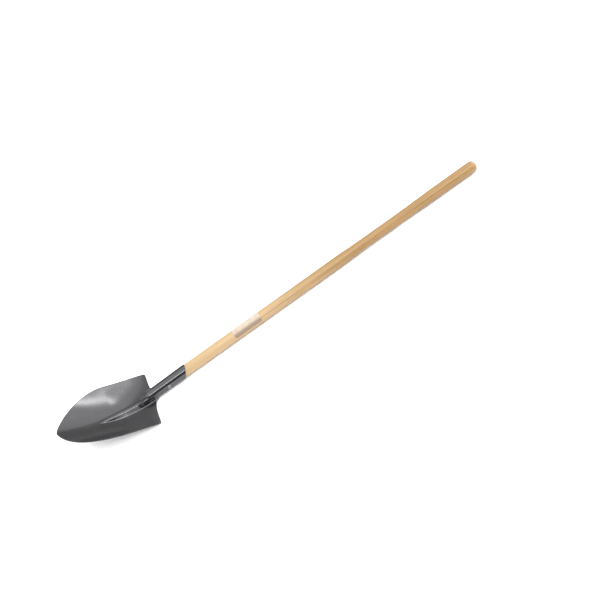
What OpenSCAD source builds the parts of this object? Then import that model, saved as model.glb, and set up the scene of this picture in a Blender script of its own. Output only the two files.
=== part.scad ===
// Round point shovel: a pressed steel head riveted to a long ash handle, lying face up.
// +X runs along the handle to its free end, +Y is to the side and +Z is up.
// The origin is on the floor, at the middle of the shovel's footprint.
//
// The head is one sheet. The blade is described in its own frame: u runs from the step to the
// point, w is to the side, and v is the height above the two step corners. The socket is
// described along the handle's axis, which crosses the step line at socket_rise.

/* [Blade] */
// Width of the blade
blade_w = 226; // [210:1:240]
// Length of the blade from the step to the point
blade_l = 290; // [275:1:310]
// Length of the blade's straight sides
side_l = 120; // [90:1:140]
// How sharp the point is
point_power = 0.7; // [0.6:0.01:0.85]
// Radius of the step corners
corner_r = 4; // [3:0.5:8]
// Distance from the step to the deepest place
deep_at = 130; // [120:1:150]
// Depth of the deepest place below the step corners
deep = 23.2; // [20:0.1:25]
// Height of the middle of the step over its corners
step_rise = 1.5; // [0:0.1:3]
// Depth of the point below the step corners
point_drop = 6; // [3:0.5:9]
// Height that the sides gain over the middle where the dish is fullest
cup = 39.5; // [30:0.5:42]
// How fast the dish fills out from the step
cup_l = 85; // [75:1:100]
// Thickness of the sheet
sheet_t = 2; // [1.6:0.1:2.2]

/* [Frog] */
// Width of the raised rib at its foot
frog_w = 36; // [34:0.5:38]
// Width of the rib's foot at the step
neck_w = 40; // [39:0.5:41]
// Height of the rib along the blade
frog_h = 14; // [11:0.5:15]
// Length of the rib from the step to its nose
frog_l = 165; // [155:1:175]
// Distance from the step to where the rib starts to narrow
frog_waist = 84; // [75:1:95]
// Width of the rib's nose
nose_w = 10; // [9:0.5:12]
// How late the rib narrows to its nose
frog_narrowing = 1.7; // [1.4:0.1:2]
// How late the rib's height falls away to its nose
frog_fall = 2.6; // [2:0.1:3]
// Radius of the rib's crest
crest_r = 9.5; // [8:0.5:11]
// Radius along the rib's foot
foot_r = 4; // [3.5:0.1:4.5]

/* [Socket] */
// Length of the socket from the step, along its front
socket_l = 128; // [115:1:140]
// Outer diameter at the blade
neck_d = 34; // [33:0.1:35]
// Outer diameter at the open end
socket_d = 38; // [37:0.1:40]
// Angle between the handle and the step end of the blade
lift = 21.2; // [18:0.1:24]
// Height of the handle's axis over the step corners
socket_rise = 13.7; // [12:0.1:15]
// Width of the open seam along the back
seam_w = 4.5; // [3:0.1:7]
// How far the slanting open end is cut back at the seam
end_cut = 24; // [10:1:40]
// How far the sheet sweeps up from the step into the socket
fillet_l = 7; // [6:0.5:9]
// How far that sweep reaches along the step
fillet_w = 50; // [40:1:60]

/* [Handle] */
// Length of handle outside the socket
handle_out = 992; // [900:1:1080]
// Diameter of the lower part of the handle
shaft_d = 34; // [33.4:0.1:36]
// Diameter at the waist
waist_d = 30; // [28:0.1:32]
// Diameter at the grip
grip_d = 33; // [32:0.1:35]
// Length of the parallel grip
grip_l = 110; // [100:5:130]
// Length of the rounded end
dome_l = 14; // [10:1:18]
// Gap between the handle and the inside of the socket
handle_gap = 0.35; // [0.3:0.05:0.5]

/* [Rivet] */
// Distance from the step to the rivet
rivet_at = 58; // [50:1:70]
// Diameter of the rivet's shank
rivet_d = 6; // [5:0.5:8]
// Diameter of its round heads
rivet_head_d = 11; // [10:0.5:13]
// Height of its round heads
rivet_head_h = 3; // [2.5:0.1:4]

/* [Label] */
// Distance from the socket's end to the label
label_at = 167; // [140:1:220]
// Length of the label along the handle
label_l = 91; // [60:1:110]
// Angle that the label covers round the handle
label_arc = 180; // [120:5:220]
// Thickness of the label
label_t = 0.2; // [0.2:0.05:0.4]

/* [Hidden] */
$fn = 96;

// Rows of the blade from its point to the step, and rows of the socket beyond the step.
blade_rows = 38;
socket_rows = 18;
// Columns from the middle of the rib to its foot, and from there to the blade's edge.
rib_cols = 11;
wing_cols = 10;
last_col = 2 * (rib_cols + wing_cols);
// How strongly the rows gather at the step, the rounded front of the point fades towards it,
// and the columns gather at the edge.
blade_gather = 1.3;
socket_gather = 1.4;
front_fade = 3;
edge_gather = 1.5;

half_w = blade_w / 2;
point_l = blade_l - side_l;
neck_r = neck_d / 2;
socket_r = socket_d / 2;
// The first row of the blade is the front of the point, out to this half-width.
front_half_w = 45;
// The rib's sections lean over to stand square to the handle along this much blade.
neck_l = 60;
// The rib settles to its own height and roundness over this much blade.
settle_l = 52;
// The sheet closes round the handle over this much socket, and loses its flare over this much.
close_l = 45;
flare_l = 20;
// The step's shape fades out over this much blade.
step_fade = 25;

// An S-shaped rise from 0 to 1.
function ease(x) = let (c = max(0, min(1, x))) c * c * (3 - 2 * c);
function mix(a, b, k) = a + (b - a) * k;

// The blade's outline: the half-width at u, and the u that has half-width w.
function outline_w(u) = half_w * pow(1 - pow(max(0, (u - side_l) / point_l), 2), point_power);
function outline_u(w) = side_l + point_l * sqrt(1 - pow(abs(w) / half_w, 1 / point_power));

// The dish: a bow from step to point, with sides that curl up more towards the point.
function bow(u) = u < deep_at
    ? (deep + step_rise) * pow(1 - u / deep_at, 2) - deep
    : (deep - point_drop) * pow((u - deep_at) / (blade_l - deep_at), 2) - deep;
function curl(u) = mix(cup, -step_rise, exp(-max(0, u) / cup_l));
function dish(u, w) = bow(u) + curl(u) * pow(w / half_w, 2);

// From the blade's frame to the handle's: x along its axis from the step, z towards the face.
function to_handle(u, w, v) = let (d = v - socket_rise)
    [d * sin(lift) - u * cos(lift), w, d * cos(lift) + u * sin(lift)];

// The rib: half-width of its foot, height, and lean of its sections.
function rib_half_w(u) = u > frog_l
    ? nose_w / 2 + (frog_w - nose_w) / 2 * ease((u - frog_l) / settle_l)
    : mix(mix(neck_w, frog_w, ease(u / settle_l)), nose_w,
        pow(max(0, (u - frog_waist) / (frog_l - frog_waist)), frog_narrowing)) / 2;
function rib_own_h(u) = u >= frog_l ? 0 : frog_h * cos(90 * pow(max(0, u) / frog_l, frog_fall));
function rise_to_socket(u) = neck_r - to_handle(u, 0, bow(u))[2];
function rib_h(u) = max(0.01, mix(rise_to_socket(u), rib_own_h(u), ease(u / settle_l)));
function rib_lean(u) = lift * (1 - ease(u / neck_l));

// The bends of the rib's section: crest radius, foot radius, angle of the flank between
// them and the flank's length. The radii shrink where the rib is too small for them.
function bends(u) =
    let (
        w = rib_half_w(u), h = rib_h(u),
        r = mix(neck_r, crest_r, ease(u / settle_l)),
        fit = min(1, (w * w + h * h) / (2 * h) / (r + foot_r)),
        both = (r + foot_r) * fit,
        span = sqrt(w * w + pow(h - both, 2)))
    [r * fit, foot_r * fit, atan2(h - both, w) + asin(min(1, both / span)),
        sqrt(max(0, span * span - both * both))];

// A section across the rib or socket: a crest of radius r bent through angle a, a straight
// flank of length l, and a foot of radius f bent back through angle b. It gives the point at
// share t of its length, as the distance to the side and the drop below the crest.
function section(t, r, f, a, l, b) =
    let (
        crest_l = r * a * PI / 180,
        foot_l = f * b * PI / 180,
        s = t * (crest_l + l + foot_l))
    s <= crest_l
    ? let (g = a * s / crest_l) [r * sin(g), r * (1 - cos(g))]
    : let (
        on_flank = min(l, s - crest_l),
        g = foot_l > 0 ? a - b * (s - crest_l - on_flank) / foot_l : a)
      [(r + f) * sin(a) - f * sin(g) + on_flank * cos(a),
       r - (r + f) * cos(a) + f * cos(g) + on_flank * sin(a)];

// Columns: signed share of the rib, and share of the wing from the rib's foot to the edge.
function rib_share(i) = (i - rib_cols - wing_cols) / rib_cols;
function wing_share(i) = 1 - pow(1 - (abs(i - last_col / 2) - rib_cols) / wing_cols, edge_gather);
function is_rib(i) = abs(i - last_col / 2) <= rib_cols;
function side(i) = sign(i - last_col / 2);

// The edge of the step: a rounded corner, a straight stretch, and a sweep up into the socket.
function step_edge(w, foot) =
    w > half_w - corner_r ? corner_r - sqrt(pow(corner_r, 2) - pow(w - half_w + corner_r, 2))
    : w < foot + fillet_w ? -fillet_l * pow(1 - max(0, w - foot) / fillet_w, 3) : 0;

// One point of the blade's face. Row 0 is the point and the last row is the step.
function blade_point(j, i) =
    let (
        share = j / blade_rows,
        edge_u = outline_u(front_half_w) * pow(1 - share, blade_gather),
        front = pow(1 - share, front_fade),
        fade = pow(max(0, 1 - edge_u / step_fade), 2),
        mid_u = edge_u + front * (blade_l - outline_u(front_half_w)) - fillet_l * fade,
        half = rib_half_w(mid_u),
        bend = bends(mid_u),
        across = is_rib(i)
            ? section(abs(rib_share(i)), bend[0], bend[1], bend[2], bend[3], bend[2])
            : [mix(half, outline_w(edge_u), wing_share(i)), rib_h(mid_u)],
        front_w = min(1, across[0] / outline_w(edge_u)) * front_half_w,
        u = edge_u + front * (outline_u(front_w) - outline_u(front_half_w))
            + fade * step_edge(across[0], half),
        rise = rib_h(mid_u) - across[1],
        lean = rib_lean(mid_u))
    to_handle(u + rise * sin(lean), side(i) * across[0], dish(u, across[0]) + rise * cos(lean));

// One point of the socket's outside. Row 0 is the blade's last row.
step_x = to_handle(-fillet_l, 0, bow(-fillet_l))[0];
step_bend = bends(-fillet_l);
seam_a = 180 - asin(seam_w / 2 / socket_r);
function socket_radius(x) = mix(neck_r, socket_r, x / socket_l);
function socket_point(j, i) =
    let (
        t = abs(rib_share(i)),
        end_x = socket_l - end_cut * (1 - cos(t * seam_a)) / 2,
        x = mix(step_x, end_x, pow(j / socket_rows, socket_gather)),
        r = socket_radius(x),
        a = mix(step_bend[2], seam_a, ease((x - step_x) / close_l)),
        flare = 1 - ease((x - step_x) / flare_l),
        across = section(t, r, foot_r, a, flare * step_bend[3], flare * step_bend[2]))
    [x, side(i) * across[0], r - across[1]];

// The grid of the face: whole rows on the blade, and only the rib's columns on the socket.
all_rows = blade_rows + socket_rows;
function first_col(j) = j <= blade_rows ? 0 : wing_cols;
function final_col(j) = last_col - first_col(j);
function face_point(j, i) = j <= blade_rows ? blade_point(j, i) : socket_point(j - blade_rows, i);
face = [for (j = [0 : all_rows]) [for (i = [first_col(j) : final_col(j)]) face_point(j, i)]];
function at(j, i) = face[j][i - first_col(j)];

// The sheet's other side, square to the face.
function unit(v) = v / norm(v);
function normal(j, i) =
    let (
        below = j > 0 ? j - 1 : j,
        above = j < all_rows && i >= first_col(j + 1) && i <= final_col(j + 1) ? j + 1 : j,
        left = max(first_col(j), i - 1),
        right = min(final_col(j), i + 1))
    unit(cross(at(j, right) - at(j, left), at(above, i) - at(below, i)));
back = [for (j = [0 : all_rows]) [for (i = [first_col(j) : final_col(j)])
    at(j, i) + sheet_t * normal(j, i)]];

// All points in one list, the face first, and the place of each in the list.
face_list = [for (row = face) each row];
back_list = [for (row = back) each row];
sheet_points = concat(face_list, back_list);
blade_count = (blade_rows + 1) * (last_col + 1);
function place(j, i) = j <= blade_rows
    ? j * (last_col + 1) + i
    : blade_count + (j - blade_rows - 1) * (2 * rib_cols + 1) + i - wing_cols;
back_start = len(face_list);

// The two triangles of each cell, on the face and on the other side.
cells = [for (j = [0 : all_rows - 1]) for (i = [first_col(j + 1) : final_col(j + 1) - 1]) [j, i]];
function cell_face(c) = let (
        p = place(c[0], c[1]), q = place(c[0], c[1] + 1),
        r = place(c[0] + 1, c[1] + 1), s = place(c[0] + 1, c[1]))
    [[p, q, r], [p, r, s]];
function turned(f, shift) = [f[0] + shift, f[2] + shift, f[1] + shift];

// The edge of the sheet, once round: point, side, step, seam, open end and back again.
rim = concat(
    [for (i = [0 : last_col]) place(0, i)],
    [for (j = [1 : blade_rows]) place(j, last_col)],
    [for (i = [last_col - 1 : -1 : last_col - wing_cols]) place(blade_rows, i)],
    [for (j = [blade_rows + 1 : all_rows]) place(j, last_col - wing_cols)],
    [for (i = [last_col - wing_cols - 1 : -1 : wing_cols]) place(all_rows, i)],
    [for (j = [all_rows - 1 : -1 : blade_rows]) place(j, wing_cols)],
    [for (i = [wing_cols - 1 : -1 : 0]) place(blade_rows, i)],
    [for (j = [blade_rows - 1 : -1 : 1]) place(j, 0)]);
function rim_face(k) = let (p = rim[k], q = rim[(k + 1) % len(rim)])
    [[q, p, p + back_start], [q, p + back_start, q + back_start]];

sheet_faces = concat(
    [for (c = cells) each cell_face(c)],
    [for (c = cells) each [for (f = cell_face(c)) turned(f, back_start)]],
    [for (k = [0 : len(rim) - 1]) each rim_face(k)]);

// The handle, from the tip of its tapered end to its free end.
handle_end = socket_l + handle_out;
chuck_tip_x = -44;
chuck_tip_r = 2.5;
chuck_x = 6;
// The wood swells out from the socket's bore to its bare thickness over this much handle.
swell_out_l = 8;
bare_x = socket_l + swell_out_l;
grip_x = [handle_end - dome_l - grip_l, handle_end - dome_l];
// The handle thins to its waist and swells to the grip along these shares of its length.
thin_from = socket_l + 0.52 * handle_out;
thin_to = socket_l + 0.64 * handle_out;
swell_from = socket_l + 0.74 * handle_out;
waist_steps = 12;
dome_steps = 9;
function bore_radius(x) = socket_radius(x) - sheet_t - handle_gap;
function eased_profile(x0, x1, d0, d1) = [for (k = [0 : waist_steps])
    [mix(x0, x1, k / waist_steps), mix(d0, d1, ease(k / waist_steps)) / 2]];
handle_profile = concat(
    [[chuck_tip_x, 0], [chuck_tip_x, chuck_tip_r], [chuck_x, bore_radius(chuck_x)]],
    [[socket_l, bore_radius(socket_l)], [bare_x, shaft_d / 2]],
    eased_profile(thin_from, thin_to, shaft_d, waist_d),
    eased_profile(swell_from, grip_x[0], waist_d, grip_d),
    [for (k = [0 : dome_steps]) let (g = 90 * k / dome_steps)
        [grip_x[1] + dome_l * sin(g), grip_d / 2 * cos(g)]]);

// The rivet's heads stand on this radius, just off the socket, and its shank runs into them.
rivet_gap = 0.05;
rivet_seat = socket_radius(rivet_at) + rivet_gap;
rivet_overlap = 0.1;

// Everything is built along the handle's axis and then set down on the floor.
low_x = min([for (p = sheet_points) p[0]]);
low_z = min([for (p = sheet_points) p[2]]);
set_down = [-(low_x + handle_end) / 2, 0, -low_z];

// A solid of revolution about the handle's axis, from a profile of [x, radius].
module about_axis(profile, angle = 360) {
    translate(set_down)
        rotate([0, 90, 0]) rotate([0, 0, 180 - angle / 2])
            rotate_extrude(angle = angle) polygon([for (p = profile) [p[1], p[0]]]);
}

module rivet_shank(r, length) {
    translate(set_down + [rivet_at, 0, 0]) rotate([90, 0, 0]) cylinder(r = r, h = length, center = true);
}

// A round head, deep enough at its rim to be hollowed underneath and sit on the socket.
module rivet_head(way) {
    head_r = rivet_head_d / 2;
    ball_r = (pow(head_r, 2) + pow(rivet_head_h, 2)) / (2 * rivet_head_h);
    rim_y = sqrt(pow(rivet_seat, 2) - pow(head_r, 2)) - rivet_overlap;
    translate(set_down + [rivet_at, 0, 0]) scale([1, way, 1]) rotate([-90, 0, 0])
        rotate_extrude() polygon(concat([[0, rim_y], [head_r, rim_y]],
            [for (k = [0 : dome_steps]) let (g = mix(asin(head_r / ball_r), 0, k / dome_steps))
                [ball_r * sin(g), rivet_seat + rivet_head_h - ball_r * (1 - cos(g))]]));
}

module head() {
    color("dimgray") difference() {
        translate(set_down) polyhedron(sheet_points, sheet_faces, convexity = 10);
        rivet_shank(rivet_d / 2, 2 * socket_d);
    }
}

module handle() {
    color("burlywood") difference() {
        about_axis(handle_profile);
        rivet_shank(rivet_d / 2, 2 * socket_d);
    }
}

module rivet() {
    color("silver") union() {
        rivet_shank(rivet_d / 2, 2 * (rivet_seat + rivet_overlap));
        difference() {
            union() {
                rivet_head(1);
                rivet_head(-1);
            }
            translate(set_down + [rivet_at, 0, 0]) rotate([0, 90, 0])
                cylinder(r = rivet_seat, h = 2 * rivet_head_d, center = true);
        }
    }
}

module label() {
    x0 = socket_l + label_at;
    r = shaft_d / 2;
    color("ghostwhite")
        about_axis([[x0, r], [x0, r + label_t], [x0 + label_l, r + label_t], [x0 + label_l, r]], label_arc);
}

head();
handle();
rivet();
label();
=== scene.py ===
"""Looks of the round point shovel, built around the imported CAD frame.

The head is one pressed sheet, described in millimetres as in the CAD part: u runs from the step to
the point, w is to the side and v is the height above the step corners. The handle's own frame has
x along its axis from the step, y to the side and z towards the face. Angles are in degrees.
"""

import bpy
import numpy as np
from mathutils import Matrix, Vector


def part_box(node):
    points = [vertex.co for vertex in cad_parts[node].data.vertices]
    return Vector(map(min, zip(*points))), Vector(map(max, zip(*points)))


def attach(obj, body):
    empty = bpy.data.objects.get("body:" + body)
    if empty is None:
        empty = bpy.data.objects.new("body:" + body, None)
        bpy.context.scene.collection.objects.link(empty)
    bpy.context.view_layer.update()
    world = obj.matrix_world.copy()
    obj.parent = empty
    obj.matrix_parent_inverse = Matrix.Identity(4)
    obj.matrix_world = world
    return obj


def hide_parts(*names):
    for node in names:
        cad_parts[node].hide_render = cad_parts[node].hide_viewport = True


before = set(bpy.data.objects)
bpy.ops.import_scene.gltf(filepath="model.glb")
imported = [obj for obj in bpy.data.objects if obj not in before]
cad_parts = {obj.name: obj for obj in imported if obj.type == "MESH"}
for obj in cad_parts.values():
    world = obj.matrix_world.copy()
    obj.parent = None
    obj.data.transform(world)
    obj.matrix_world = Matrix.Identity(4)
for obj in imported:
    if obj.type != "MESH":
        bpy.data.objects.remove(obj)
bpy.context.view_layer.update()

# ---------------------------------------------------------------------------------------------
# Driving dimensions, in millimetres
# ---------------------------------------------------------------------------------------------

BLADE_W = 226  # Width of the blade
BLADE_L = 290  # Length of the blade from the step to the point
SIDE_L = 120  # Length of the blade's straight sides
POINT_POWER = 0.7  # How sharp the point is
CORNER_R = 4  # Radius of the step corners
DEEP_AT = 130  # Distance from the step to the deepest place
DEEP = 23.2  # Depth of the deepest place below the step corners
STEP_RISE = 1.5  # Height of the middle of the step over its corners
POINT_DROP = 6  # Depth of the point below the step corners
CUP = 39.5  # Height that the sides gain over the middle where the dish is fullest
CUP_L = 85  # How fast the dish fills out from the step
SHEET_T = 2  # Thickness of the sheet

FROG_W = 36  # Width of the raised rib at its foot
NECK_W = 40  # Width of the rib's foot at the step
FROG_H = 14  # Height of the rib along the blade
FROG_L = 165  # Length of the rib from the step to its nose
FROG_WAIST = 84  # Distance from the step to where the rib starts to narrow
NOSE_W = 10  # Width of the rib's nose
FROG_NARROWING = 1.7  # How late the rib narrows to its nose
FROG_FALL = 2.6  # How late the rib's height falls away to its nose
CREST_R = 9.5  # Radius of the rib's crest
FOOT_R = 4  # Radius along the rib's foot
NECK_L = 60  # Blade over which the rib's sections lean, to stand square to the handle
SETTLE_L = 52  # Blade over which the rib settles to its own height and roundness

SOCKET_L = 128  # Length of the socket from the step, along its front
NECK_D = 34  # Outer diameter at the blade
SOCKET_D = 38  # Outer diameter at the open end
LIFT = 21.2  # Angle between the handle and the step end of the blade
SOCKET_RISE = 13.7  # Height of the handle's axis over the step corners
SEAM_W = 4.5  # Width of the open seam along the back
END_CUT = 24  # How far the slanting open end is cut back at the seam
FILLET_L = 7  # How far the sheet sweeps up from the step into the socket
FILLET_W = 50  # How far that sweep reaches along the step
CLOSE_L = 45  # Socket over which the sheet closes round the handle
FLARE_L = 20  # Socket over which the sheet loses its flare
STEP_FADE = 25  # Blade over which the step's shape fades out

HANDLE_OUT = 992  # Length of handle outside the socket
SHAFT_D = 34  # Diameter of the lower part of the handle
WAIST_D = 30  # Diameter at the waist
GRIP_D = 33  # Diameter at the grip
GRIP_L = 110  # Length of the parallel grip
DOME_L = 14  # Length of the rounded end
HANDLE_GAP = 0.35  # Gap between the handle and the inside of the socket

RIVET_AT = 58  # Distance from the step to the rivet
RIVET_D = 6  # Diameter of the rivet's shank
RIVET_HEAD_D = 11  # Diameter of its round heads
RIVET_HEAD_H = 3  # Height of its round heads

LABEL_AT = 167  # Distance from the socket's end to the label
LABEL_L = 91  # Length of the label along the handle
LABEL_ARC = 180  # Angle that the label covers round the handle
LABEL_T = 0.2  # Thickness of the label

HALF_W = BLADE_W / 2
POINT_L = BLADE_L - SIDE_L
NECK_R = NECK_D / 2
SOCKET_R = SOCKET_D / 2
HANDLE_END = SOCKET_L + HANDLE_OUT
MM = 0.001

# The handle's frame sits where the CAD set it down: its axis runs through the middle of the
# handle, and the rivet gives the distance from the step.
rivet_low, rivet_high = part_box("rivet")
AXIS_AT = np.array([
    (rivet_low.x + rivet_high.x) / 2 / MM - RIVET_AT,
    0,
    (rivet_low.z + rivet_high.z) / 2 / MM,
])


# ---------------------------------------------------------------------------------------------
# Small helpers
# ---------------------------------------------------------------------------------------------

def ease(x):
    c = np.clip(x, 0, 1)
    return c * c * (3 - 2 * c)


def mix(a, b, k):
    return a + (b - a) * k


def sin(degrees):
    return np.sin(np.radians(degrees))


def cos(degrees):
    return np.cos(np.radians(degrees))


def unit(v):
    return v / np.maximum(np.linalg.norm(v, axis=-1, keepdims=True), 1e-12)


def in_row(points):
    """Points in the handle's frame, in millimetres, as points in the row frame, in metres."""
    return (np.asarray(points) + AXIS_AT) * MM


def make_mesh(name, points, faces):
    mesh = bpy.data.meshes.new(name)
    mesh.from_pydata([tuple(p) for p in in_row(points)], [], [tuple(f) for f in faces])
    mesh.validate()
    mesh.polygons.foreach_set("use_smooth", [True] * len(mesh.polygons))
    mesh.update()
    piece = bpy.data.objects.new(name, mesh)
    bpy.context.scene.collection.objects.link(piece)
    return piece


def grid_faces(rows, columns, closed=False):
    """Four-cornered faces between the points of a grid, whose rows may close into rings."""
    faces = []
    for j in range(rows - 1):
        this_row, next_row = j * columns, (j + 1) * columns
        for i in range(columns if closed else columns - 1):
            k = (i + 1) % columns
            faces.append((next_row + i, next_row + k, this_row + k, this_row + i))
    return faces


def closed_tube(name, rings, tips):
    """A solid through rings of points, closed by one tip at each end."""
    segments = rings.shape[1]
    body = rings.reshape(-1, 3)
    first_tip, last_tip = len(body), len(body) + 1
    last_ring = len(body) - segments
    faces = grid_faces(len(rings), segments, closed=True)
    for k in range(segments):
        m = (k + 1) % segments
        faces.append((first_tip, k, m))
        faces.append((last_tip, last_ring + m, last_ring + k))
    return make_mesh(name, np.concatenate([body, tips]), faces)


# ---------------------------------------------------------------------------------------------
# Shape of the head
# ---------------------------------------------------------------------------------------------

def outline_w(u):
    return HALF_W * (1 - np.clip((u - SIDE_L) / POINT_L, 0, 1) ** 2) ** POINT_POWER


def outline_u(w):
    return SIDE_L + POINT_L * np.sqrt(1 - (np.abs(w) / HALF_W) ** (1 / POINT_POWER))


def bow(u):
    rear = (DEEP + STEP_RISE) * (1 - u / DEEP_AT) ** 2 - DEEP
    front = (DEEP - POINT_DROP) * ((u - DEEP_AT) / (BLADE_L - DEEP_AT)) ** 2 - DEEP
    return np.where(u < DEEP_AT, rear, front)


def dish(u, w):
    curl = mix(CUP, -STEP_RISE, np.exp(-np.maximum(0, u) / CUP_L))
    return bow(u) + curl * (w / HALF_W) ** 2


def to_handle(u, w, v):
    d = v - SOCKET_RISE
    return np.stack(np.broadcast_arrays(
        d * sin(LIFT) - u * cos(LIFT), w, d * cos(LIFT) + u * sin(LIFT)), axis=-1)


def rib_half_w(u):
    beyond = NOSE_W / 2 + (FROG_W - NOSE_W) / 2 * ease((u - FROG_L) / SETTLE_L)
    narrowing = np.clip((u - FROG_WAIST) / (FROG_L - FROG_WAIST), 0, 1) ** FROG_NARROWING
    along = mix(mix(NECK_W, FROG_W, ease(u / SETTLE_L)), NOSE_W, narrowing) / 2
    return np.where(u > FROG_L, beyond, along)


def rib_height(u):
    own = FROG_H * cos(90 * np.clip(u / FROG_L, 0, 1) ** FROG_FALL)
    to_socket = NECK_R - to_handle(u, 0, bow(u))[..., 2]
    return np.maximum(0.01, mix(to_socket, own, ease(u / SETTLE_L)))


def bends(u):
    """Crest radius, foot radius, angle of the flank in degrees, and length of the flank."""
    w, h = rib_half_w(u), rib_height(u)
    r = mix(NECK_R, CREST_R, ease(u / SETTLE_L))
    fit = np.minimum(1, (w * w + h * h) / (2 * h) / (r + FOOT_R))
    both = (r + FOOT_R) * fit
    span = np.sqrt(w * w + (h - both) ** 2)
    angle = np.arctan2(h - both, w) + np.arcsin(np.minimum(1, both / span))
    return r * fit, FOOT_R * fit, np.degrees(angle), np.sqrt(np.maximum(0, span * span - both * both))


def section(t, r, f, a, flank, b):
    """A crest arc, a straight flank and a foot arc: distance to the side, and drop, at share t."""
    crest_l = r * np.radians(a)
    foot_l = f * np.radians(b)
    s = t * (crest_l + flank + foot_l)
    g = a * s / crest_l
    on_flank = np.clip(s - crest_l, 0, flank)
    turned = a - b * (s - crest_l - on_flank) / np.maximum(foot_l, 1e-9)
    on_crest = s <= crest_l
    across = np.where(on_crest, r * sin(g), (r + f) * sin(a) - f * sin(turned) + on_flank * cos(a))
    drop = np.where(
        on_crest, r * (1 - cos(g)), r - (r + f) * cos(a) + f * cos(turned) + on_flank * sin(a))
    return across, drop


# Rows run from the point to the step and on to the open end of the socket. Columns run across.
BLADE_ROWS = 110
SOCKET_ROWS = 64
RIB_COLS = 26
WING_COLS = 30
LAST_COL = 2 * (RIB_COLS + WING_COLS)
# The first row is the rounded front of the point, out to this half-width.
FRONT_HALF_W = 45
# How strongly the rows and columns gather at the step, at the socket's near end and at the
# blade's edge.
BLADE_GATHER = 0.35
SOCKET_GATHER = 0.35
EDGE_GATHER = 0.7
# The cut edge of the sheet is rounded by this radius, in this many steps a corner.
EDGE_R = 0.7
EDGE_STEPS = 4
# Half the distance over which the slope of the dish is measured
SLOPE_STEP = 0.05


def gather(share, strength):
    """Shares from 0 to 1 that crowd towards 1."""
    return mix(share, 1 - (1 - share) ** 2, strength)


def step_edge(w, foot):
    """The edge of the step: a rounded corner, a straight stretch, and a sweep up into the socket."""
    in_corner = np.clip(w - HALF_W + CORNER_R, 0, CORNER_R)
    corner = CORNER_R - np.sqrt(CORNER_R ** 2 - in_corner ** 2)
    sweep = -FILLET_L * np.clip(1 - np.maximum(0, w - foot) / FILLET_W, 0, 1) ** 3
    return np.where(w > HALF_W - CORNER_R, corner, sweep)


def dish_normal(u, w):
    """Square to the dish, away from its face, for places beyond the rib."""
    e = SLOPE_STEP
    along = to_handle(u - e, w, dish(u - e, w)) - to_handle(u + e, w, dish(u + e, w))
    across = to_handle(u, w + e, dish(u, w + e)) - to_handle(u, w - e, dish(u, w - e))
    return unit(np.cross(across, along))


def grid_normals(grid):
    along = np.gradient(grid, axis=0, edge_order=2)
    across = np.gradient(grid, axis=1, edge_order=2)
    return unit(np.cross(across, along))


def blade_grid():
    """Points of the blade's face and the direction from each to the back."""
    j = np.arange(BLADE_ROWS + 1)[:, None]
    i = np.arange(LAST_COL + 1)[None, :] - LAST_COL / 2
    share = gather(j / BLADE_ROWS, BLADE_GATHER)
    front_u = outline_u(FRONT_HALF_W)
    edge_u = front_u * (1 - share)
    front = (1 - share) ** 3
    fade = np.clip(1 - edge_u / STEP_FADE, 0, 1) ** 2
    mid_u = edge_u + front * (BLADE_L - front_u) - FILLET_L * fade
    half = rib_half_w(mid_u)
    height = rib_height(mid_u)
    r, f, a, flank = bends(mid_u)
    across, drop = section(np.minimum(1, np.abs(i) / RIB_COLS), r, f, a, flank, a)
    on_rib = np.abs(i) <= RIB_COLS
    wing = gather(np.clip((np.abs(i) - RIB_COLS) / WING_COLS, 0, 1), EDGE_GATHER)
    across = np.where(on_rib, across, mix(half, outline_w(edge_u), wing))
    rise = np.where(on_rib, height - drop, 0)
    front_w = np.minimum(1, across / outline_w(edge_u)) * FRONT_HALF_W
    u = edge_u + front * (outline_u(front_w) - front_u) + fade * step_edge(across, half)
    lean = LIFT * (1 - ease(mid_u / NECK_L))
    w = np.sign(i) * across
    points = to_handle(u + rise * sin(lean), w, dish(u, w) + rise * cos(lean))
    return points, np.where(on_rib[..., None], grid_normals(points), dish_normal(u, w))


def socket_radius(x):
    return mix(NECK_R, SOCKET_R, x / SOCKET_L)


def socket_grid():
    """Points of the socket's outside, over the rib's columns only."""
    j = np.arange(1, SOCKET_ROWS + 1)[:, None]
    i = np.arange(-RIB_COLS, RIB_COLS + 1)[None, :]
    _, _, step_a, step_flank = bends(np.array(-FILLET_L))
    step_x = to_handle(-FILLET_L, 0, bow(-FILLET_L))[0]
    seam_a = 180 - np.degrees(np.arcsin(SEAM_W / 2 / SOCKET_R))
    t = np.abs(i) / RIB_COLS
    end_x = SOCKET_L - END_CUT * (1 - cos(t * seam_a)) / 2
    share = j / SOCKET_ROWS
    x = mix(step_x, end_x, mix(share, share ** 2, SOCKET_GATHER))
    a = mix(step_a, seam_a, ease((x - step_x) / CLOSE_L))
    flare = 1 - ease((x - step_x) / FLARE_L)
    r = socket_radius(x)
    across, drop = section(t, r, FOOT_R, a, flare * step_flank, flare * step_a)
    return np.stack([x, np.sign(i) * across, r - drop], axis=-1)


def head_rim():
    """The edge of the sheet, once round, as (row, column) places."""
    left, right = WING_COLS, LAST_COL - WING_COLS
    last_row = BLADE_ROWS + SOCKET_ROWS
    return (
        [(0, i) for i in range(LAST_COL + 1)]
        + [(j, LAST_COL) for j in range(1, BLADE_ROWS + 1)]
        + [(BLADE_ROWS, i) for i in range(LAST_COL - 1, right, -1)]
        + [(j, right) for j in range(BLADE_ROWS, last_row + 1)]
        + [(last_row, i) for i in range(right - 1, left - 1, -1)]
        + [(j, left) for j in range(last_row - 1, BLADE_ROWS - 1, -1)]
        + [(BLADE_ROWS, i) for i in range(left - 1, -1, -1)]
        + [(j, 0) for j in range(BLADE_ROWS - 1, 0, -1)])


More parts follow.
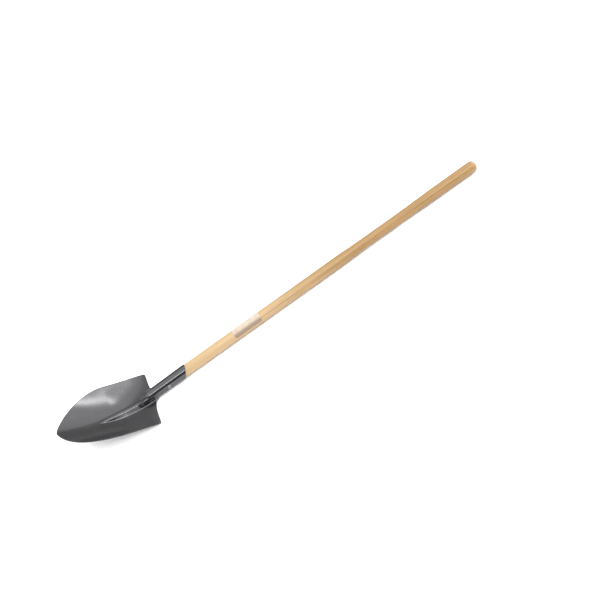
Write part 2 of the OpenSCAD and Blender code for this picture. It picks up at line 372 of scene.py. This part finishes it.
def build_head():
    rows = BLADE_ROWS + SOCKET_ROWS + 1
    rib = slice(WING_COLS, LAST_COL - WING_COLS + 1)
    grid = np.full((rows, LAST_COL + 1, 3), np.nan)
    normals = grid.copy()
    grid[:BLADE_ROWS + 1], normals[:BLADE_ROWS + 1] = blade_grid()
    grid[BLADE_ROWS + 1:, rib] = socket_grid()
    normals[BLADE_ROWS:, rib] = grid_normals(grid[:, rib])[BLADE_ROWS:]

    rim = head_rim()
    edge = np.array([grid[place] for place in rim])
    inward = np.array([normals[place] for place in rim])
    tangent = unit(np.roll(edge, -1, axis=0) - np.roll(edge, 1, axis=0))
    outward = unit(np.cross(tangent, inward))

    # The face and the back stop short of the edge, and a rounded edge joins them.
    for place, point, out in zip(rim, edge, outward):
        grid[place] = point - EDGE_R * out
    used = ~np.isnan(grid[..., 0])
    count = used.sum()
    index = np.full(used.shape, -1)
    index[used] = np.arange(count)
    turns = [(turn, EDGE_R) for turn in np.linspace(0, 90, EDGE_STEPS + 1)[1:]]
    turns += [(turn, SHEET_T - EDGE_R) for turn in np.linspace(90, 180, EDGE_STEPS + 1)[:-1]]
    rings = [
        edge - EDGE_R * (1 - sin(turn)) * outward + (depth - EDGE_R * cos(turn)) * inward
        for turn, depth in turns]
    points = np.concatenate([grid[used], grid[used] + SHEET_T * normals[used], *rings])

    faces = []
    for j in range(rows - 1):
        for i in range(LAST_COL):
            corners = [index[j, i], index[j, i + 1], index[j + 1, i + 1], index[j + 1, i]]
            if min(corners) >= 0:
                faces.append(corners[::-1])
                faces.append([c + count for c in corners])
    size = len(rim)
    loops = [[index[place] for place in rim]]
    loops += [[2 * count + k * size + n for n in range(size)] for k in range(len(rings))]
    loops += [[index[place] + count for place in rim]]
    for near, far in zip(loops, loops[1:]):
        for n in range(size):
            m = (n + 1) % size
            faces.append([near[n], near[m], far[m], far[n]])
    return make_mesh("head_sheet", points, faces)


# ---------------------------------------------------------------------------------------------
# Handle, rivet and label
# ---------------------------------------------------------------------------------------------

# The chuck is a cone from its tip to CHUCK_X, where it meets the socket's taper. Outside the
# socket the handle swells to its full diameter, which it has from BARE_X.
CHUCK_TIP_X = -44
CHUCK_TIP_R = 2.5
CHUCK_X = 6
SWELL_OUT_L = 8
BARE_X = SOCKET_L + SWELL_OUT_L
# Outside the socket the handle thins between the first two of these places, and swells again
# from the third to the grip.
THIN_FROM = SOCKET_L + 0.52 * HANDLE_OUT
THIN_TO = SOCKET_L + 0.64 * HANDLE_OUT
SWELL_FROM = SOCKET_L + 0.74 * HANDLE_OUT
GRIP_X = (HANDLE_END - DOME_L - GRIP_L, HANDLE_END - DOME_L)
# Distances between the handle's rings of points, inside the socket and outside it, and how many
# rings its chuck, its swelling and its rounded end have
SOCKET_RING_GAP = 4
SHAFT_RING_GAP = 5
CHUCK_RINGS = 12
SWELL_RINGS = 5
DOME_RINGS = 18
HANDLE_SEGMENTS = 128
# The last ring of the rounded end is this far round from its widest, next to the tip.
DOME_TURN = 86

RIVET_SEGMENTS = 64
# The first ring of a rivet's head is this far round from its top, next to the tip.
RIVET_TOP_TURN = 3
RIVET_HEAD_RINGS = 12
# How far the rim of a rivet's head bulges, how far its underside is drawn in from the rim and
# stands off the socket, and how far the shank starts below the socket's face
RIM_BULGE = 0.08
UNDER_INSET = 0.05
UNDER_GAP = 0.02
SHANK_SINK = 0.3

LABEL_CORNER_R = 5
# The label's underside stands this far off the wood.
LABEL_GAP = 0.01


def bore_radius(x):
    return socket_radius(x) - SHEET_T - HANDLE_GAP


def handle_radius(x):
    tapered = np.interp(
        x,
        [CHUCK_TIP_X, CHUCK_X, SOCKET_L, BARE_X],
        [CHUCK_TIP_R, bore_radius(CHUCK_X), bore_radius(SOCKET_L), SHAFT_D / 2])
    thinned = mix(SHAFT_D, WAIST_D, ease((x - THIN_FROM) / (THIN_TO - THIN_FROM)))
    swelled = mix(thinned, GRIP_D, ease((x - SWELL_FROM) / (GRIP_X[0] - SWELL_FROM)))
    return np.where(x < BARE_X, tapered, swelled / 2)


def build_handle():
    x = np.concatenate([
        np.linspace(CHUCK_TIP_X, CHUCK_X, CHUCK_RINGS),
        np.arange(CHUCK_X + SOCKET_RING_GAP, SOCKET_L, SOCKET_RING_GAP),
        np.linspace(SOCKET_L, BARE_X, SWELL_RINGS),
        np.arange(BARE_X + SOCKET_RING_GAP, GRIP_X[1], SHAFT_RING_GAP),
    ])
    turn = np.linspace(0, DOME_TURN, DOME_RINGS)
    centres = np.concatenate([x, GRIP_X[1] + DOME_L * sin(turn)])[:, None]
    radii = np.concatenate([handle_radius(x), GRIP_D / 2 * cos(turn)])[:, None]
    angles = np.linspace(0, 360, HANDLE_SEGMENTS, endpoint=False)
    rings = np.stack(
        np.broadcast_arrays(centres, radii * sin(angles), radii * cos(angles)), axis=-1)
    tips = [(centres[0, 0], 0, 0), (centres[-1, 0], 0, 0)]
    return closed_tube("handle_wood", rings, tips)


def build_rivet():
    """A shank with a round head at each end that sits on the socket's side."""
    head_r = RIVET_HEAD_D / 2
    shank_r = RIVET_D / 2
    ball_r = (head_r ** 2 + RIVET_HEAD_H ** 2) / (2 * RIVET_HEAD_H)
    crown = socket_radius(RIVET_AT)
    top = crown + RIVET_HEAD_H
    widest = np.degrees(np.arcsin(head_r / ball_r))
    angles = np.linspace(0, 360, RIVET_SEGMENTS, endpoint=False)

    def ring(radius, height):
        return np.stack(np.broadcast_arrays(
            RIVET_AT + radius * cos(angles), height, radius * sin(angles)), axis=-1)

    def on_socket(radius):
        return np.sqrt(crown ** 2 - (radius * sin(angles)) ** 2)

    rings = [
        ring(ball_r * sin(turn), top - ball_r * (1 - cos(turn)))
        for turn in np.linspace(RIVET_TOP_TURN, widest, RIVET_HEAD_RINGS)]
    rings.append(ring(head_r + RIM_BULGE, mix(on_socket(head_r), crown, 0.5)))
    rings.append(ring(head_r - UNDER_INSET, on_socket(head_r) + UNDER_GAP))
    rings.append(ring(shank_r, on_socket(shank_r) - SHANK_SINK))
    mirrored = [r * np.array([1, -1, 1]) for r in rings]
    tips = [(RIVET_AT, -top, 0), (RIVET_AT, top, 0)]
    return closed_tube("rivet_body", np.array(mirrored + rings[::-1]), tips)


def build_label():
    """A thin sticker round the face-up side of the handle, with rounded corners."""
    rows, columns = 40, 72
    r = SHAFT_D / 2
    half_arc = np.radians(LABEL_ARC / 2) * r
    across = np.linspace(-half_arc, half_arc, columns + 1)[None, :]
    share = np.linspace(0, 1, rows + 1)[:, None]
    into_corner = np.clip(np.abs(across) - half_arc + LABEL_CORNER_R, 0, LABEL_CORNER_R)
    inset = LABEL_CORNER_R - np.sqrt(LABEL_CORNER_R ** 2 - into_corner ** 2)
    x = mix(SOCKET_L + LABEL_AT + inset, SOCKET_L + LABEL_AT + LABEL_L - inset, share)
    angle = np.degrees(across / r)

    def layer(radius):
        layer_points = np.broadcast_arrays(x, radius * sin(angle), radius * cos(angle))
        return np.stack(layer_points, axis=-1).reshape(-1, 3)

    points = np.concatenate([layer(r + LABEL_T), layer(r + LABEL_GAP)])
    wide = columns + 1
    count = (rows + 1) * wide
    faces = grid_faces(rows + 1, wide)
    faces += [tuple(c + count for c in f[::-1]) for f in faces]
    rim = (
        list(range(columns))
        + [j * wide + columns for j in range(rows)]
        + [rows * wide + i for i in range(columns, 0, -1)]
        + [j * wide for j in range(rows, 0, -1)])
    for near, far in zip(rim, rim[1:] + rim[:1]):
        faces.append((near, far, far + count, near + count))
    return make_mesh("label_paper", points, faces)


# ---------------------------------------------------------------------------------------------
# Materials
# ---------------------------------------------------------------------------------------------

class Tree:
    """Short ways to build a node tree."""

    def __init__(self, tree):
        self.tree = tree

    def add(self, kind, **settings):
        node = self.tree.nodes.new("ShaderNode" + kind)
        for key, value in settings.items():
            setattr(node, key, value)
        return node

    def link(self, source, target):
        self.tree.links.new(source, target)

    def put(self, value, socket):
        if isinstance(value, bpy.types.NodeSocket):
            self.link(value, socket)
        else:
            socket.default_value = value

    def place(self, scale=(1, 1, 1)):
        """The object's own coordinates, in metres, scaled."""
        mapping = self.add("Mapping")
        self.link(self.add("TexCoord").outputs["Object"], mapping.inputs["Vector"])
        mapping.inputs["Scale"].default_value = scale
        return mapping.outputs["Vector"]

    def split(self, coordinates):
        """X, Y and Z of the named texture coordinates."""
        parts = self.add("SeparateXYZ")
        self.link(self.add("TexCoord").outputs[coordinates], parts.inputs[0])
        return parts.outputs

    def noise(self, vector, scale, detail=4, roughness=0.5, distortion=0):
        node = self.add("TexNoise")
        self.link(vector, node.inputs["Vector"])
        for key, value in (
                ("Scale", scale), ("Detail", detail), ("Roughness", roughness), ("Distortion", distortion)):
            node.inputs[key].default_value = value
        return node.outputs["Fac"]

    def math(self, operation, a, b=0.0):
        node = self.add("Math", operation=operation)
        self.put(a, node.inputs[0])
        self.put(b, node.inputs[1])
        return node.outputs[0]

    def remap(self, value, low, high, to_low=0.0, to_high=1.0, smooth=False):
        node = self.add("MapRange", interpolation_type="SMOOTHSTEP" if smooth else "LINEAR")
        self.link(value, node.inputs["Value"])
        for key, number in (
                ("From Min", low), ("From Max", high), ("To Min", to_low), ("To Max", to_high)):
            node.inputs[key].default_value = number
        return node.outputs["Result"]

    def blend(self, share, a, b):
        node = self.add("Mix", data_type="RGBA")
        self.put(share, node.inputs["Factor"])
        self.put(a, node.inputs[6])
        self.put(b, node.inputs[7])
        return node.outputs[2]

    def ramp(self, value, stops):
        node = self.add("ValToRGB")
        self.link(value, node.inputs["Fac"])
        elements = node.color_ramp.elements
        while len(elements) < len(stops):
            elements.new(0.5)
        for element, (place, colour) in zip(elements, stops):
            element.position = place
            element.color = (*colour, 1)
        return node.outputs["Color"]

    def bump(self, height, distance, strength=1.0, under=None):
        node = self.add("Bump")
        self.link(height, node.inputs["Height"])
        node.inputs["Distance"].default_value = distance
        node.inputs["Strength"].default_value = strength
        if under is not None:
            self.link(under, node.inputs["Normal"])
        return node.outputs["Normal"]


class Nodes(Tree):
    """The node tree of a new material with one Principled shader."""

    def __init__(self, name):
        self.material = bpy.data.materials.new(name)
        self.material.use_nodes = True
        super().__init__(self.material.node_tree)
        self.shader = self.tree.nodes["Principled BSDF"]

    def set(self, **values):
        for key, value in values.items():
            self.put(value, self.shader.inputs[key.replace("_", " ")])


# The paint grows duller towards the step corners. It starts to at the first and is dullest from
# the second of these distances, in metres: in front of the step, and out from the middle. A real
# one isn't duller there: its dish bends differently, and this one would catch the long light.
DULL_IN_FRONT = (0.119, 0.079)
DULL_OUTWARD = (0.030, 0.055)
DULL_ROUGHNESS = 0.115


def painted_steel():
    n = Nodes("painted_steel")
    where = n.place()
    orange_peel = n.noise(where, 900, detail=2)
    mottle = n.noise(where, 14, detail=5, roughness=0.6)
    fine = n.noise(where, 260, detail=4, roughness=0.65)
    colour = n.ramp(mottle, [(0.3, (0.060, 0.060, 0.062)), (0.7, (0.075, 0.075, 0.078))])
    x, y, _ = n.split("Object")
    step_x = AXIS_AT[0] * MM
    rearward = n.remap(x, step_x - DULL_IN_FRONT[0], step_x - DULL_IN_FRONT[1])
    outward = n.remap(n.math("ABSOLUTE", y), *DULL_OUTWARD)
    duller = n.math("MULTIPLY", n.math("MULTIPLY", rearward, outward), DULL_ROUGHNESS)
    even = n.remap(mottle, 0.3, 0.7, 0.115, 0.145)
    rough = n.math("ADD", n.math("ADD", even, n.remap(fine, 0.3, 0.7, -0.01, 0.02)), duller)
    normal = n.bump(orange_peel, 0.00001, 0.25)
    normal = n.bump(mottle, 0.0003, 0.05, under=normal)
    n.set(Base_Color=colour, Metallic=0.8, Roughness=rough, Normal=normal)
    return n.material


def ash_wood():
    n = Nodes("ash_wood")
    broad = n.noise(n.place(scale=(0.9, 22, 22)), 1, detail=3)
    grain = n.noise(
        n.place(scale=(1.6, 60, 60)), 3.2, detail=6, roughness=0.62, distortion=0.3)
    pores = n.noise(n.place(scale=(14, 900, 900)), 1, detail=3, roughness=0.7)
    low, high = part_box("handle")
    x, _, _ = n.split("Object")
    # The wood goes from pale near the socket to golden near the grip.
    toward_grip = n.remap(x, low.x + 0.30, high.x - 0.35, smooth=True)
    pale = n.ramp(grain, [
        (0.30, (0.275, 0.180, 0.083)),
        (0.52, (0.332, 0.228, 0.112)),
        (0.75, (0.375, 0.268, 0.146)),
    ])
    golden = n.ramp(grain, [
        (0.30, (0.150, 0.078, 0.017)),
        (0.52, (0.204, 0.110, 0.027)),
        (0.75, (0.246, 0.142, 0.040)),
    ])
    colour = n.blend(toward_grip, pale, golden)
    colour = n.blend(n.remap(broad, 0.35, 0.7, 0.0, 0.35), colour, (0.25, 0.155, 0.065, 1))
    colour = n.blend(n.remap(pores, 0.62, 0.75, 0.0, 0.35), colour, (0.16, 0.085, 0.03, 1))
    normal = n.bump(pores, 0.00008, 0.5)
    normal = n.bump(grain, 0.0001, 0.35, under=normal)
    n.set(Base_Color=colour, Roughness=n.remap(grain, 0.3, 0.7, 0.5, 0.38), Normal=normal)
    n.set(Coat_Weight=0.25, Coat_Roughness=0.22)
    return n.material


def rivet_steel():
    n = Nodes("rivet_steel")
    where = n.place()
    scuff = n.noise(where, 700, detail=5, roughness=0.7)
    blotch = n.noise(where, 180, detail=3)
    colour = n.ramp(blotch, [(0.35, (0.09, 0.09, 0.093)), (0.65, (0.21, 0.21, 0.215))])
    n.set(Base_Color=colour, Metallic=0.9, Roughness=n.remap(scuff, 0.3, 0.7, 0.25, 0.45))
    n.set(Normal=n.bump(scuff, 0.00005, 0.4))
    return n.material


# Half the distance from one dusty band of the label to the next, in metres, and the distances
# from the middle of a gap at which a band starts and is full
BAND_HALF_PITCH = 0.0115
BAND_EDGE = (0.0045, 0.007)


def paper_label():
    n = Nodes("paper_label")
    low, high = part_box("label")
    x, _, z = n.split("Object")
    fibre = n.noise(n.place(scale=(220, 600, 600)), 1, detail=5, roughness=0.7)
    wear = n.noise(n.place(), 60, detail=6, roughness=0.7)
    # The label darkens from its top towards its sides: painted shade over the paper's own tan.
    shade_to_side = n.remap(z, mix(low.z, high.z, 0.97), mix(low.z, high.z, 0.45), smooth=True)
    colour = n.blend(shade_to_side, (0.35, 0.30, 0.235, 1), (0.175, 0.125, 0.083, 1))
    from_gap = n.math("PINGPONG", n.math("SUBTRACT", x, low.x), BAND_HALF_PITCH)
    band = n.remap(from_gap, *BAND_EDGE)
    dust = n.math("MULTIPLY", band, n.remap(wear, 0.35, 0.65, 0.35, 0.0))
    colour = n.blend(dust, colour, (0.22, 0.13, 0.11, 1))
    colour = n.blend(n.remap(wear, 0.6, 0.72, 0.0, 0.5), colour, (0.28, 0.20, 0.12, 1))
    n.set(Base_Color=colour, Roughness=n.remap(fibre, 0.3, 0.7, 0.42, 0.6))
    n.set(Normal=n.bump(fibre, 0.00003, 0.4))
    return n.material


def floor_paint():
    n = Nodes("studio_floor")
    n.set(Base_Color=(0.93, 0.93, 0.93, 1), Roughness=0.9, Specular_IOR_Level=0.0)
    return n.material


# ---------------------------------------------------------------------------------------------
# The shovel
# ---------------------------------------------------------------------------------------------

def fit(piece, node, slot, material):
    piece.data.materials.append(material)
    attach(piece, "root")
    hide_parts(node)


fit(build_head(), "head", "painted_steel", painted_steel())
fit(build_handle(), "handle", "ash_wood", ash_wood())
fit(build_rivet(), "rivet", "rivet_steel", rivet_steel())
fit(build_label(), "label", "paper_label", paper_label())


# ---------------------------------------------------------------------------------------------
# Floor, light and camera
# ---------------------------------------------------------------------------------------------

FLOOR_HALF = 40


def build_floor():
    mesh = bpy.data.meshes.new("floor")
    corners = [(-1, -1), (1, -1), (1, 1), (-1, 1)]
    mesh.from_pydata([(FLOOR_HALF * x, FLOOR_HALF * y, 0) for x, y in corners], [], [(0, 1, 2, 3)])
    floor = bpy.data.objects.new("floor", mesh)
    bpy.context.scene.collection.objects.link(floor)
    mesh.materials.append(floor_paint())


# The studio round the shovel: brightness overhead and at the horizon, and the share of it that
# is left on the camera's side, where the room is dark.
OVERHEAD_LIGHT = 1.25
HORIZON_LIGHT = 0.45
HORIZON_Z = 0.35
DARK_SHARE = 0.1
DARK_FROM = -0.50
DARK_TO = -0.80
# A direction lower than this looks at the ceiling as if it had this height.
LOWEST_Z = 0.02
# Light panels on a ceiling one unit up: place of the middle, turn from +X, half-length,
# half-width, how soft the ends and the sides are, and brightness.
PANELS = [
    dict(x=0.477, y=-0.003, turn=-58, half=(0.90, 1.20), soft=(0.12, 0.30), light=1.15),
    dict(x=0.546, y=0.026, turn=-58, half=(0.47, 0.020), soft=(0.10, 0.015), light=13.0),
    dict(x=0.656, y=-0.200, turn=-58, half=(0.30, 0.060), soft=(0.12, 0.04), light=2.4),
    dict(x=0.05, y=-0.80, turn=0, half=(0.45, 0.08), soft=(0.04, 0.04), light=14.0),
    dict(x=-3.6, y=-0.6, turn=90, half=(3.50, 1.55), soft=(0.6, 0.4), light=6.5),
    dict(x=2.85, y=-0.6, turn=90, half=(3.50, 1.70), soft=(0.6, 0.2), light=5.5),
]


def build_light():
    world = bpy.data.worlds.new("studio")
    bpy.context.scene.world = world
    world.use_nodes = True
    n = Tree(world.node_tree)
    background = world.node_tree.nodes["Background"]
    x, y, z = n.split("Generated")
    room = n.remap(z, HORIZON_Z, 1, HORIZON_LIGHT, OVERHEAD_LIGHT, smooth=True)
    total = n.math("MULTIPLY", room, n.remap(y, DARK_TO, DARK_FROM, DARK_SHARE, 1, smooth=True))
    upward = n.math("MAXIMUM", z, LOWEST_Z)
    ceiling_x = n.math("DIVIDE", x, upward)
    ceiling_y = n.math("DIVIDE", y, upward)
    for panel in PANELS:
        from_x = n.math("SUBTRACT", ceiling_x, panel["x"])
        from_y = n.math("SUBTRACT", ceiling_y, panel["y"])
        c, s = float(cos(panel["turn"])), float(sin(panel["turn"]))
        along = n.math("ADD", n.math("MULTIPLY", from_x, c), n.math("MULTIPLY", from_y, s))
        across = n.math("SUBTRACT", n.math("MULTIPLY", from_y, c), n.math("MULTIPLY", from_x, s))
        lit = panel["light"]
        for distance, half, soft in zip((along, across), panel["half"], panel["soft"]):
            inside = n.remap(
                n.math("ABSOLUTE", distance), half + soft, half - soft / 2, smooth=True)
            lit = n.math("MULTIPLY", inside, lit)
        total = n.math("ADD", total, lit)
    n.link(total, background.inputs["Strength"])
    background.inputs["Color"].default_value = (1, 1, 1, 1)


CAMERA_AZIMUTH = 9.58
CAMERA_ELEVATION = 38.82
CAMERA_ROLL = -41.48
CAMERA_DISTANCE = 4.5
LENS_MM = 96.3
SENSOR_MM = 36
# The place at the middle of the picture, in the row frame
PICTURE_MIDDLE = Vector((0.0820, -0.0133, -0.0033))


def build_camera():
    """A camera that looks down at the face of the blade from the side, tilted about its own axis."""
    back = Vector((
        sin(CAMERA_AZIMUTH) * cos(CAMERA_ELEVATION),
        -cos(CAMERA_AZIMUTH) * cos(CAMERA_ELEVATION),
        sin(CAMERA_ELEVATION)))
    level = Vector((cos(CAMERA_AZIMUTH), sin(CAMERA_AZIMUTH), 0))
    upright = back.cross(level)
    right = level * cos(CAMERA_ROLL) + upright * sin(CAMERA_ROLL)
    up = back.cross(right)
    data = bpy.data.cameras.new("camera")
    data.lens = LENS_MM
    data.sensor_width = SENSOR_MM
    camera = bpy.data.objects.new("camera", data)
    camera.matrix_world = Matrix.Translation(PICTURE_MIDDLE + back * CAMERA_DISTANCE) @ Matrix(
        (right, up, back)).transposed().to_4x4()
    bpy.context.scene.collection.objects.link(camera)
    bpy.context.scene.camera = camera


build_floor()
build_light()
build_camera()
bpy.context.scene.view_settings.view_transform = "Standard"
